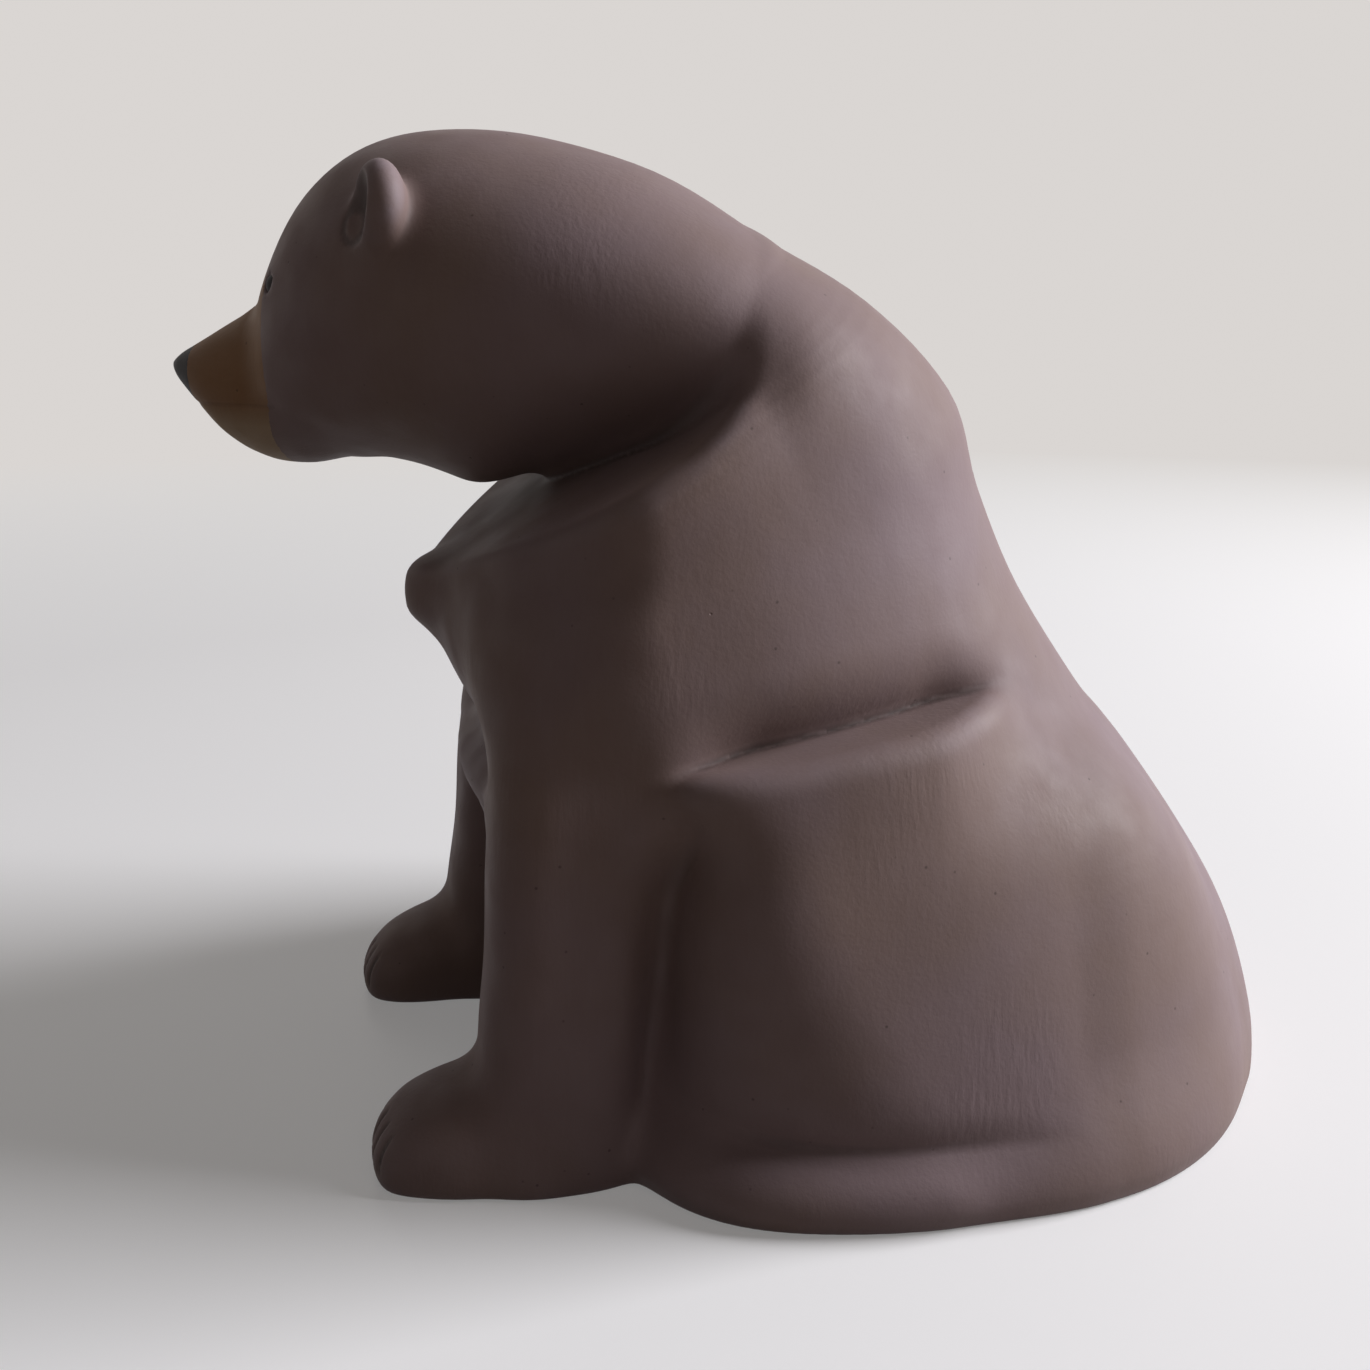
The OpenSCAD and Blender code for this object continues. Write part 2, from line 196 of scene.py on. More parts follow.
# Fillets where forms meet: width, how much wider they get, and between which two places they do
HEAD_FILLET = (4, 18, -66, -24)
FORELEG_FILLET = (5, 6, 75, 115)
PAW_FILLET = 9
HAUNCH_FILLET = (2, 24, 16, 62)
FOOT_FILLET = (4, 20, 0, 50)
MUZZLE_FILLET = (6, 8, 214, 198)
EAR_FILLET = 4
# The fillet in front of the thigh, and where along Y and up Z it starts
THIGH_FILLET = (4, 8, 60, 15)
THIGH_FRONT = (-50, -66)
THIGH_TOP = (124, 108)
# How much wider the foot's fillet is at its front, and where along Y
FOOT_FRONT_FILLET = 5
FOOT_FRONT = (-35, -66)
# How much of the haunch's fillet is lost near its ledge, between which depths below it, and where along Y
LEDGE_LOSS = 0.75
LEDGE_DEPTHS = (-50, -15)
LEDGE_END = (75, 45)
# The rounded edge of the underside
BASE_EDGE = 2.5

# Ears, eyes, mouth and nose, in the frame of the head before its turn
EAR_AT = (55, -114, 256.5)
EAR_SPLAY = math.radians(124)
EAR_LEAN = math.radians(30)
EAR_TIP = math.radians(18)
EAR_SIZE = (14, 23, 28.5)
EAR_HOLLOW_AT = (-7, 1, 2)
EAR_HOLLOW_SIZE = (9, 13, 19)
EAR_RIM = 2.5
# How dark the painted shade in the ear's hollow is, and how far from it that fades
EAR_SHADE = 0.6
EAR_SHADE_EDGE = (0.4, 1.8)
EYE_AT = (31.8, -149.8, 240.2)
EYE_RADII = (3.5, 3.5, 3.5)
EYE_OPENING = (4.2, 4.2, 2.6)
EYE_RIM = 1.5
NOSTRIL_AT = (3.6, -194, 219)
NOSTRIL_RADII = (1.5, 2.5, 1.2)
NOSTRIL_RIM = 1
# The mouth's line: its height, its corner along Y, how soon it fades there, and how strong it is
MOUTH_Z = 207.5
MOUTH_CORNER = -152
MOUTH_FADE = 2
MOUTH_SHARE = 0.3
# How far below the mouth the jaw's paint gets its own tone
JAW_FADE = 6
NOSE_BACK = -185
# The edge between the head and the snout along Y, how far it slants back, and between which heights
FACE_EDGE = -155
FACE_SLANT = (-2.3, 216, 197)

# Incised lines: half width, depth, and the claws' places across and up a paw
MARK_WIDTH = 0.7
MARK_DEPTH = 0.9
PAW_MIDDLE = 58
CLAW_OFFSETS = (-9.5, -3.2, 3.2, 9.5)
CLAW_FRONT = (-141, -136)
CLAW_LOW = (3, 6)
CLAW_HIGH = (15, 18)

# Hand-made unevenness: direction, wave length and phase of each wave, and their height
WAVES = [
    ((0.9, 0.3, 0.2), 61, 0.4),
    ((-0.3, 0.8, 0.5), 47, 2.1),
    ((0.2, -0.5, 0.9), 53, 4.0),
    ((0.6, 0.6, -0.5), 37, 5.2),
    ((-0.7, 0.2, 0.7), 71, 1.3),
]
WAVE_HEIGHT = 0.12

# The shell's wall, how round the space inside it is, and the bore that the neck sleeve lies in
WALL = 8
ROOM_ROUNDING = 10
NECK_BORE = 34
NECK_BORE_DEPTH = 42

# A distance that is far from any surface, and a number small enough to guard a division
FAR_OFF = 60.0
TINY = 0.001


def eased(value, start, end):
    """0 before start, 1 after end, and a smooth rise between them."""
    t = np.clip((value - start) / (end - start), 0, 1)
    return t * t * (3 - 2 * t)


def smooth(rows):
    """Rows with a number of steps between each pair, on a curve through all of them."""
    rows = np.array(rows, float)
    last = len(rows) - 1
    run = []
    for i in range(last):
        a, b, c, d = rows[max(i - 1, 0)], rows[i], rows[i + 1], rows[min(i + 2, last)]
        for step in range(SMOOTH_STEPS):
            t = step / SMOOTH_STEPS
            cubic = (2 * a - 5 * b + 4 * c - d) * t ** 2 + (3 * b - a - 3 * c + d) * t ** 3
            run.append(0.5 * (2 * b + (c - a) * t + cubic))
    run.append(rows[last])
    return np.array(run)


def join(a, b, blend):
    """Union of two fields with a fillet about as wide as blend."""
    near = np.maximum(blend - np.abs(a - b), 0) / blend
    return np.minimum(a, b) - near * near * blend / 4


def trim(a, b, blend):
    """Intersection of two fields with a rounded edge."""
    return -join(-a, -b, blend)


def plane_above(p, front, back):
    """Height above the plane that runs from front to back, both given as Y and Z."""
    run = np.subtract(back, front)
    run = run / np.hypot(*run)
    return (p[2] - front[1]) * run[0] - (p[1] - front[0]) * run[1]


def tuck(p, height, shape):
    """How far a wall is drawn in at a height above a ledge, over a reach that narrows as it fades."""
    depth, reach, front, full, fading, end = shape
    left = 1 - eased(p[1], fading, end)
    share = np.clip(1 - np.abs(height) / (reach * (1 + left) / 2), 0, 1)
    return depth * eased(p[1], front, full) * left * share ** 2


def valley(p):
    """How far the side of the torso is drawn in between the foreleg and the thigh."""
    depth, middle, half, low, high = VALLEY
    return depth * eased(np.abs(p[1] - middle), half, 0) * (1 - eased(p[2], low, high))


def turn(p, angle):
    """Points turned about the upright axis of the neck."""
    x = p[0] - NECK_PIVOT[0]
    y = p[1] - NECK_PIVOT[1]
    c, s = np.cos(angle), np.sin(angle)
    return np.stack([x * c - y * s + NECK_PIVOT[0], x * s + y * c + NECK_PIVOT[1], p[2]])


def mirrored(p):
    """Points of both sides laid on the left side."""
    return np.stack([np.abs(p[0]), p[1], p[2]])


def section_place(p, run):
    """Where along a run of sections each point lies, and how far it is past the first and the last one."""
    place = np.zeros_like(p[1])
    before = None
    for i, row in enumerate(run):
        past = plane_above(p, row[0:2], row[2:4])
        if i == 0:
            first = past
        else:
            between = (before >= 0) & (past < 0)
            place[between] = i - 1 + before[between] / (before[between] - past[between])
        before = past
    place[before >= 0] = len(run) - 1
    return place, first, before


def loft(p, run, end_blend, flares=None, leans=None):
    """Field of a form whose sections are rounded squares."""
    place, first, last = section_place(p, run)
    steps = np.arange(len(run))
    low_y, low_z, high_y, high_z, centre, half, front_square, back_square = (
        np.interp(place, steps, column) for column in run.T
    )
    along_y, along_z = high_y - low_y, high_z - low_z
    reach = np.hypot(along_y, along_z) / 2
    up = (p[1] - (low_y + high_y) / 2) * along_y + (p[2] - (low_z + high_z) / 2) * along_z
    up = up / (2 * reach * reach)
    if flares is not None:
        half = half * (1 + np.interp(place, steps, flares) * np.clip(up, -1, 1))
    if leans is not None:
        lean = np.interp(place, steps, leans)
        share = np.where(up < lean, 1 + lean, 1 - lean)
        up = (up - lean) / share
        reach = reach * share
    square = np.where(up < 0, front_square, back_square)
    a = np.abs(up)
    round_off = SIDE_ROUNDING * np.maximum(2 - square, 0)
    a = a * a * (1 + round_off) / np.maximum(a + round_off, TINY)
    b = np.abs((p[0] - centre) / half)
    r = np.maximum((a ** square + b ** square) ** (1 / square), TINY)
    slope = np.hypot((a / r) ** (square - 1) / reach, (b / r) ** (square - 1) / half)
    side = (r - 1) / np.maximum(slope, TINY)
    return trim(side, np.maximum(-first, last), end_blend)


def ball(p, centre, radii):
    """Field of an ellipsoid."""
    q = [(p[i] - centre[i]) / radii[i] for i in range(3)]
    r = np.sqrt(q[0] ** 2 + q[1] ** 2 + q[2] ** 2)
    g = np.sqrt(sum((q[i] / radii[i]) ** 2 for i in range(3)))
    return r * (r - 1) / np.maximum(g, TINY)


def smooth_values(values):
    """One value for each step of a run, on a curve through the given ones."""
    return smooth([(value,) for value in values])[:, 0]


TORSO_RUN = smooth(TORSO_ROWS)
TORSO_LEAN = smooth_values(TORSO_LEANS)
HEAD_RUN = smooth(HEAD_ROWS)
HEAD_SHARES = smooth_values(TURN_SHARES)
HEAD_FLARES = smooth_values(NAPE_FLARES)
MUZZLE_RUN = smooth(MUZZLE_ROWS)
FORELEG_RUN = smooth(FORELEG_ROWS)
PAW_RUN = smooth(PAW_ROWS)
HAUNCH_RUN = smooth(HAUNCH_ROWS)
HAUNCH_LEAN = smooth_values(HAUNCH_LEANS)
FOOT_RUN = smooth(FOOT_ROWS)


def above_neck_plane(p):
    return plane_above(p, COLLAR_FRONT, COLLAR_BACK)


def above_collar(p):
    """Height above the collar, which rises out of sight towards the nape."""
    rise, start, end = COLLAR_LIFT
    return above_neck_plane(p) - rise * eased(p[1], start, end)


def above_haunch(p):
    return plane_above(p, HAUNCH_FRONT, HAUNCH_BACK)


def torso_wall(p):
    wall = loft(p, TORSO_RUN, TORSO_END, leans=TORSO_LEAN)
    return wall + tuck(p, above_haunch(p), FLANK_TUCK) + valley(p)


def torso_field(p):
    body = trim(torso_wall(p), above_collar(p), COLLAR_LIP)
    return join(body, ball(p, KNOB_AT, KNOB_RADII), KNOB_FILLET)


def head_field(p):
    q = p
    for _ in range(TURN_ROUNDS):
        place = section_place(q, HEAD_RUN)[0]
        q = turn(p, HEAD_TURN * np.interp(place, np.arange(len(HEAD_RUN)), HEAD_SHARES))
    return loft(q, HEAD_RUN, HEAD_END, HEAD_FLARES) + tuck(p, above_neck_plane(p), NECK_TUCK)


def muzzle_field(p):
    return loft(turn(p, HEAD_TURN), MUZZLE_RUN, MUZZLE_END)


def ear_frame(p):
    """Points in an ear's own frame: X through its thickness, Y across, Z up."""
    q = mirrored(turn(p, HEAD_TURN))
    x, y, z = (q[i] - EAR_AT[i] for i in range(3))
    c, s = math.cos(EAR_TIP), math.sin(EAR_TIP)
    y, z = y * c - z * s, y * s + z * c
    c, s = math.cos(EAR_LEAN), math.sin(EAR_LEAN)
    x, z = x * c - z * s, x * s + z * c
    c, s = math.cos(EAR_SPLAY), math.sin(EAR_SPLAY)
    return np.stack([x * c + y * s, y * c - x * s, z])


def ear_hollow(p):
    return ball(ear_frame(p), EAR_HOLLOW_AT, [size / 2 for size in EAR_HOLLOW_SIZE])


def ear_field(p):
    flap = ball(ear_frame(p), (0, 0, 0), [size / 2 for size in EAR_SIZE])
    return trim(flap, -ear_hollow(p), EAR_RIM)


def foreleg_field(p):
    q = mirrored(p)
    q[1] = q[1] - RIGHT_LEG_BACK * eased(q[2], *RIGHT_LEG_HEIGHTS) * (p[0] < 0)
    return join(loft(q, FORELEG_RUN, FORELEG_END), loft(q, PAW_RUN, PAW_END), PAW_FILLET)


def haunch_field(p):
    sink, start, end = HAUNCH_SINK
    height = above_haunch(p)
    wall = loft(mirrored(p), HAUNCH_RUN, HAUNCH_END, leans=HAUNCH_LEAN)
    wall = wall + tuck(p, p[2] - FOOT_TOP, THIGH_TUCK)
    wall = wall + sink * eased(p[1], start, end) * eased(height, -HAUNCH_SINK_HEIGHT, 0)
    return trim(wall, height, HAUNCH_LIP)


def foot_field(p):
    sink, start, end = FOOT_SINK
    foot = trim(loft(mirrored(p), FOOT_RUN, FOOT_END), p[2] - FOOT_TOP, FOOT_LIP)
    return foot + sink * eased(p[1], start, end)


FORMS = {
    "torso": torso_field,
    "head": head_field,
    "foreleg": foreleg_field,
    "haunch": haunch_field,
    "foot": foot_field,
    "muzzle": muzzle_field,
    "ear": ear_field,
}


def widened(value, fillet):
    width, growth, start, end = fillet
    return width + growth * eased(value, start, end)


def haunch_fillet(p):
    """Width of the haunch's fillet: sharp along the ledge, wide at the rump and in front of the thigh."""
    width, growth, start, end = HAUNCH_FILLET
    kept = 1 - LEDGE_LOSS * eased(above_haunch(p), *LEDGE_DEPTHS) * eased(p[1], *LEDGE_END)
    front = eased(p[1], *THIGH_FRONT) * eased(p[2], *THIGH_TOP)
    return width + growth * kept * eased(p[1], start, end) + front * widened(p[2], THIGH_FILLET)


def fillet_at(name, p):
    """Width of the fillet where a form meets the rest, wider where its crease fades."""
    if name == "head":
        return widened(p[1], HEAD_FILLET)
    if name == "foreleg":
        return widened(p[2], FORELEG_FILLET)
    if name == "haunch":
        return haunch_fillet(p)
    if name == "foot":
        return widened(p[1], FOOT_FILLET) + FOOT_FRONT_FILLET * eased(p[1], *FOOT_FRONT)
    if name == "muzzle":
        return widened(p[2], MUZZLE_FILLET)
    return EAR_FILLET


def line_at(value, middle):
    """1 on an incised line and nearly 0 beside it."""
    return np.exp(-((value - middle) / MARK_WIDTH) ** 2)


def marks_and_shade(p):
    """How much of an incised line, or of the painted shade in the ear's hollow, each point holds, from 0 to
    1.
    """
    q = turn(p, HEAD_TURN)
    mouth = MOUTH_SHARE * line_at(q[2], MOUTH_Z) * eased(q[1], MOUTH_CORNER, MOUTH_CORNER - MOUTH_FADE)
    # Painted shade in the ear's hollow
    ear = EAR_SHADE * (1 - eased(np.abs(ear_hollow(p)), *EAR_SHADE_EDGE))
    across = np.abs(p[0]) - PAW_MIDDLE
    claws = sum(line_at(across, offset) for offset in CLAW_OFFSETS)
    claws = claws * (1 - eased(p[1], *CLAW_FRONT)) * eased(p[2], *CLAW_LOW) * (1 - eased(p[2], *CLAW_HIGH))
    return np.clip(np.where(p[2] > FIGURE_HEIGHT / 2, np.maximum(mouth, ear), claws), 0, 1)


def unevenness(p):
    """Height of the hand-made waves at each point."""
    height = 0
    for direction, length, phase in WAVES:
        along = sum(direction[i] * p[i] for i in range(3))
        height = height + np.sin(2 * math.pi * along / length + phase)
    return WAVE_HEIGHT * height


def body_field(p, near):
    """Field of the whole figure from the forms named in near, and the field of each of them."""
    fields = {name: FORMS[name](p) for name in FORMS if name in near}
    whole = None
    for name, field in fields.items():
        whole = field if whole is None else join(whole, field, fillet_at(name, p))
    if "muzzle" in fields:
        face = mirrored(turn(p, HEAD_TURN))
        whole = trim(whole, -ball(face, EYE_AT, EYE_OPENING), EYE_RIM)
        whole = trim(whole, -ball(face, NOSTRIL_AT, NOSTRIL_RADII), NOSTRIL_RIM)
    whole = whole + MARK_DEPTH * marks_and_shade(p) + unevenness(p)
    return trim(whole, -p[2], BASE_EDGE), fields


# How far a section reaches under its neighbours, and how deep it dips there
OVERLAP = 1.5
DIP = 0.3


def side_of(node, x):
    """Below zero on the node's own side of the middle plane."""
    if node.endswith("_left"):
        return -x
    if node.endswith("_right"):
        return x
    return np.full_like(x, -FAR_OFF)


def beyond_face(p):
    """Below zero in front of the edge between the head and the snout."""
    q = turn(p, HEAD_TURN)
    back, high, low = FACE_SLANT
    return q[1] - FACE_EDGE - back * eased(q[2], high, low)


def beyond_section(node, own, p, fields):
    """How far each point lies past the seams of a section. It is below zero inside."""
    q = turn(p, HEAD_TURN)
    if node == "muzzle":
        return np.maximum.reduce([beyond_face(p), MOUTH_Z - q[2], NOSE_BACK - q[1]])
    if node == "lower_jaw":
        return np.maximum(beyond_face(p), q[2] - MOUTH_Z)
    if node == "nose":
        return np.maximum(q[1] - NOSE_BACK, MOUTH_Z - q[2])
    others = [field for name, field in fields.items() if name not in (own, "muzzle")]
    beyond = (fields[own] - np.minimum.reduce(others)) / 2
    if node == "head_shell":
        return np.maximum(beyond, -beyond_face(p))
    return np.maximum(beyond, side_of(node, q[0] if own == "ear" else p[0]))


def neck_bore(p):
    """Field of the bore that the neck sleeve lies in."""
    low, high = (np.array(corner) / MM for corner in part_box("neck_sleeve"))
    middle = (low + high) / 2
    run = np.subtract(COLLAR_BACK, COLLAR_FRONT)
    run = run / np.hypot(*run)
    y, z = p[1] - middle[1], p[2] - middle[2]
    along = z * run[0] - y * run[1]
    across = np.hypot(p[0] - middle[0], y * run[0] + z * run[1])
    return np.maximum(across - NECK_BORE, np.abs(along) - NECK_BORE_DEPTH / 2)


def hollow(node, p, fields):
    """Field of the space inside a shell."""
    if node == "torso_shell":
        room = trim(torso_wall(p) + WALL, above_collar(p) + WALL, ROOM_ROUNDING)
        return np.minimum(room, neck_bore(p))
    if node == "head_shell":
        room = trim(fields["head"] + WALL, WALL - above_neck_plane(p), ROOM_ROUNDING)
        room = trim(room, WALL - beyond_face(p), ROOM_ROUNDING)
        return np.minimum(room, neck_bore(p))
    return None


def section_field(node, own, near):
    """The field of one section of the figure."""

    def field(p):
        whole, fields = body_field(p, near)
        beyond = beyond_section(node, own, p, fields)
        dip = DIP * np.clip(beyond / OVERLAP, 0, 1)
        value = np.maximum(whole + dip, beyond - OVERLAP)
        room = hollow(node, p, fields)
        return value if room is None else np.maximum(value, -room)

    return field


def figure_field(near):
    """The field of the whole figure from the forms named in near."""

    def field(p):
        return body_field(p, near)[0]

    return field


def eye_field(node):
    """The field of one eye's bead."""

    def field(p):
        q = turn(p, HEAD_TURN)
        return np.maximum(ball(mirrored(q), EYE_AT, EYE_RADII), side_of(node, q[0]))

    return field


# Cells along each side of a block, and how many block lengths from the surface a block counts as near
BLOCK = 8
SLOPE_ROOM = 2.0
# Points worked out at a time
CHUNK = 100000
# How often points are pulled onto the surface, the step of the slope, and the least slope squared
PULLS = 2
PULL_STEP = 0.05
LEAST_SLOPE = 0.2
# How near a point is to the whole figure's surface to count as shown, and how far around it the curve is felt
OUTSIDE_ROOM = 0.7
CURVE_REACH = 4.0
# A normal with more of Z than this counts as upright
UPRIGHT = 0.9
# How far a section may reach past its node's box
BOX_ROOM = 12


def in_threads(field, p):
    """A field's values, worked out in chunks on all cores."""
    chunks = np.array_split(p, max(1, p.shape[1] // CHUNK), axis=1)
    with ThreadPoolExecutor() as pool:
        return np.concatenate(list(pool.map(field, chunks)))


def field_mesh(field, low, high, pitch):
    """Points and quads of a field's surface inside a box, worked out only near the surface."""
    count = np.ceil((high - low) / (pitch * BLOCK)).astype(int)
    corner = np.stack(np.meshgrid(*(np.arange(n) for n in count), indexing="ij"), -1).reshape(-1, 3)
    value = in_threads(field, low[:, None] + (corner.T + 0.5) * BLOCK * pitch)
    grid = np.where(value < 0, -FAR_OFF, FAR_OFF).reshape(count)
    grid = grid.repeat(BLOCK, 0).repeat(BLOCK, 1).repeat(BLOCK, 2).astype(np.float32)
    near = corner[np.abs(value) < SLOPE_ROOM * BLOCK * pitch]
    inside = np.stack(np.meshgrid(*(np.arange(BLOCK),) * 3, indexing="ij"), -1).reshape(-1, 3)
    index = (near[:, None, :] * BLOCK + inside[None]).reshape(-1, 3)
    grid[index[:, 0], index[:, 1], index[:, 2]] = in_threads(field, low[:, None] + (index.T + 0.5) * pitch)
    vdb = openvdb.FloatGrid(FAR_OFF)
    vdb.copyFromArray(grid)
    points, quads = vdb.convertToQuads(isovalue=0.0)
    return low + (points.astype(float) + 0.5) * pitch, quads


def gradient(field, points, step):
    """Slope of a field at points, taken over a step to both sides."""
    slope = []
    for axis in range(3):
        move = np.zeros((3, 1))
        move[axis] = step
        slope.append((in_threads(field, points.T + move) - in_threads(field, points.T - move)) / (2 * step))
    return np.stack(slope, -1)


def unit(vectors):
    return vectors / np.maximum(np.linalg.norm(vectors, axis=1), TINY)[:, None]


def curvature(field, points, normals):
    """Above zero on ridges and below zero in creases."""
    upright = np.abs(normals[:, 2:]) > UPRIGHT
    first = unit(np.cross(normals, np.where(upright, (1, 0, 0), (0, 0, 1))))
    second = np.cross(normals, first)
    total = 0
    for tangent in (first, second, -first, -second):
        total = total + in_threads(field, (points + tangent * CURVE_REACH).T)
    return total / (4 * CURVE_REACH)


def add_values(mesh, name, values):
    attribute = mesh.attributes.new(name, "FLOAT", "POINT")
    attribute.data.foreach_set("value", values.astype(np.float32))


def sculpted(node, field, whole, pitch):
    """A closed mesh of a section on its field, with the normals and creases of the whole figure."""
    low, high = (np.array(corner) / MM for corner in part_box(node))
    pitch = pitch * 1
    points, quads = field_mesh(field, low - BOX_ROOM, high + BOX_ROOM, pitch)
    for _ in range(PULLS):
        value = in_threads(field, points.T)
        slope = gradient(field, points, PULL_STEP)
        size = np.maximum((slope ** 2).sum(1), LEAST_SLOPE)
        points -= np.clip(value / size, -pitch, pitch)[:, None] * slope
    normals = unit(gradient(field, points, PULL_STEP))
    shown = np.abs(in_threads(whole, points.T)) < OUTSIDE_ROOM
    normals[shown] = unit(gradient(whole, points[shown], pitch))
    mesh = bpy.data.meshes.new(node)
    a, b, c = (points[quads[:, i]] for i in range(3))
    facing = (np.cross(b - a, c - a) * normals[quads[:, 0]]).sum()
    mesh.from_pydata((points * MM).tolist(), [], (quads if facing > 0 else quads[:, ::-1]).tolist())
    # The ridge value drives wear, painted sheen and painted shade in creases; the mark value drives dark
    # lines and painted shade in the ear's hollow
    add_values(mesh, "ridge", np.where(shown, curvature(whole, points, normals), 0))
    add_values(mesh, "mark_and_shade", np.where(shown, marks_and_shade(points.T), 0))
    mesh.polygons.foreach_set("use_smooth", [True] * len(mesh.polygons))
    mesh.normals_split_custom_set_from_vertices(normals.tolist())
    piece = bpy.data.objects.new(node + "_sculpt", mesh)
    bpy.context.collection.objects.link(piece)
    return piece


# Each section's node, own form, the forms near it and the pitch of its mesh
BODY_FORMS = ("torso", "head", "foreleg", "haunch", "foot")
FACE_FORMS = ("torso", "head", "muzzle", "ear")
SECTIONS = [
    ("torso_shell", "torso", BODY_FORMS, 1.8),
    ("head_shell", "head", FACE_FORMS + ("foreleg",), 1.3),
    ("muzzle", "muzzle", FACE_FORMS, 0.8),
    ("lower_jaw", "muzzle", FACE_FORMS, 0.8),
    ("nose", "muzzle", FACE_FORMS, 0.5),
]
for hand in ("left", "right"):
    SECTIONS += [
        ("ear_" + hand, "ear", FACE_FORMS, 0.7),
        ("foreleg_" + hand, "foreleg", BODY_FORMS, 1.1),
        ("haunch_" + hand, "haunch", BODY_FORMS, 1.4),
        ("hind_foot_" + hand, "foot", BODY_FORMS, 1.3),
    ]
EYE_PITCH = 0.4

# Paint, with sizes and depths in metres. Clouds of its two tones, and the range of noise that they take
CLOUD_SIZE = 0.07
CLOUD_RANGE = (0.35, 0.65)
# Brush streaks: size, turn and stretch, how far they are worn, and where they lie
STREAK_SIZE = 0.0016
STREAK_TURN = (0.5, 0.3, 0.8)
STREAK_STRETCH = (1, 1, 0.16)
STREAK_WEAR = (0.45, 0.8, 0, 0.07)
BRUSHED_SIZE = 0.05
BRUSHED_RANGE = (0.5, 0.65)
BRUSH_DEPTH = 0.00012
# Ridges get wear and a painted sheen in patches, creases get painted shade, and incised lines get dark
RIDGE_RANGE = (0.06, 0.3)
WEAR_AND_SHEEN_SIZE = 0.006
WEAR_AND_SHEEN_SHARE = (0.25, 0.8)
CREASE_SHADE = (-0.08, -0.4, 0, 0.75)
MARK_DARK_AND_SHADE = (0.1, 0.8, 0, 0.9)
# Specks and pits: size of their grid, share of its cells, and radius as a share of a cell
SPECKS = (0.006, 0.3, 0.09)
SPECK_SHARE = 0.55
PITS = (0.013, 0.15, 0.04)
PIT_DEPTH = 0.0003
# How sharply cells with a spot are told from the rest, and how much of a spot's radius is full
SPOT_CUT = 0.01
SPOT_CORE = 0.4
# Grain and shallow dents
GRAIN_SIZE = 0.0011
GRAIN_DEPTH = 0.00006
DENT_SIZE = 0.009
DENT_DEPTH = 0.00012
# Gloss: size of its patches, the least and the greatest roughness, and the specular level
GLOSS_SIZE = 0.012
ROUGHNESS = (0.56, 0.68)
SPECULAR = 0.25
# The middle of the range of a noise, and how detailed fine noises are
MIDDLE = (0.3, 0.7)
FINE = 3
FINEST = 4

# Bare clay: size of its clouds, their colours, its grog as spots, its roughness and its grain
CLAY_SIZE = 0.02
CLAY_PALE = (0.5, 0.4, 0.3)
CLAY_DARK = (0.4, 0.31, 0.23)
GROG = (0.003, 0.35, 0.2)
GROG_COLOUR = (0.25, 0.17, 0.12)
CLAY_ROUGHNESS = 0.85
CLAY_GRAIN_SIZE = 0.0015
CLAY_GRAIN_DEPTH = 0.0002
# Wood of the pins: size and stretch of its grain, its colours, roughness and depth
WOOD_SIZE = 0.0012
WOOD_STRETCH = (1, 0.1, 1)
WOOD_PALE = (0.62, 0.45, 0.26)
WOOD_DARK = (0.46, 0.31, 0.16)
WOOD_ROUGHNESS = 0.6
WOOD_DEPTH = 0.0001


def add(tree, kind, inputs, **settings):
    """A new shader node with its settings, and with values or links on its inputs."""
    node = tree.nodes.new("ShaderNode" + kind)
    for key, value in settings.items():
        setattr(node, key, value)
    for key, value in inputs.items():
        if isinstance(value, bpy.types.NodeSocket):
            tree.links.new(value, node.inputs[key])
        else:
            node.inputs[key].default_value = value
    return node


def new_material(name):
    """A material, its node tree and main shader, and the place on the object."""
    material = bpy.data.materials.new(name)
    material.use_nodes = True
    tree = material.node_tree
    place = tree.nodes.new("ShaderNodeTexCoord").outputs["Object"]
    return material, tree, tree.nodes["Principled BSDF"], place


def noise(tree, place, size, detail=2.0):
    """Cloudy noise with lumps of about the given size in metres."""
    return add(tree, "TexNoise", {"Vector": place, "Scale": 1 / size, "Detail": detail}).outputs["Fac"]


def span(tree, value, low, high, to_low=0.0, to_high=1.0):
    """A value mapped from one range to another, and clamped."""
    inputs = {"Value": value, "From Min": low, "From Max": high, "To Min": to_low, "To Max": to_high}
    return add(tree, "MapRange", inputs).outputs["Result"]


def times(tree, a, b):
    return add(tree, "Math", {0: a, 1: b}, operation="MULTIPLY").outputs[0]


def mix(tree, share, a, b):
    """Colour a, or b where share is 1."""
    node = add(tree, "Mix", {"Factor": share}, data_type="RGBA")
    for socket, value in ((node.inputs[6], a), (node.inputs[7], b)):
        if isinstance(value, bpy.types.NodeSocket):
            tree.links.new(value, socket)
        else:
            socket.default_value = (*value, 1)
    return node.outputs[2]


def attribute(tree, name):
    """A value that the mesh holds for each point."""
    return add(tree, "Attribute", {}, attribute_name=name).outputs["Fac"]


def spots(tree, place, size, share, radius):
    """Small round spots in a share of the cells of a grid, with their radius as a share of a cell."""
    cells = add(tree, "TexVoronoi", {"Vector": place, "Scale": 1 / size})
    lot = add(tree, "SeparateColor", {"Color": cells.outputs["Color"]}).outputs[0]
    chosen = span(tree, lot, share, share + SPOT_CUT, 1, 0)
    return times(tree, span(tree, cells.outputs["Distance"], radius, radius * SPOT_CORE), chosen)


def bump(tree, height, depth, before=None):
    """A normal raised by a height of 0 to 1, over the normal before it."""
    inputs = {"Height": height, "Distance": depth, "Strength": 1.0}
    if before is not None:
        inputs["Normal"] = before
    return add(tree, "Bump", inputs).outputs["Normal"]


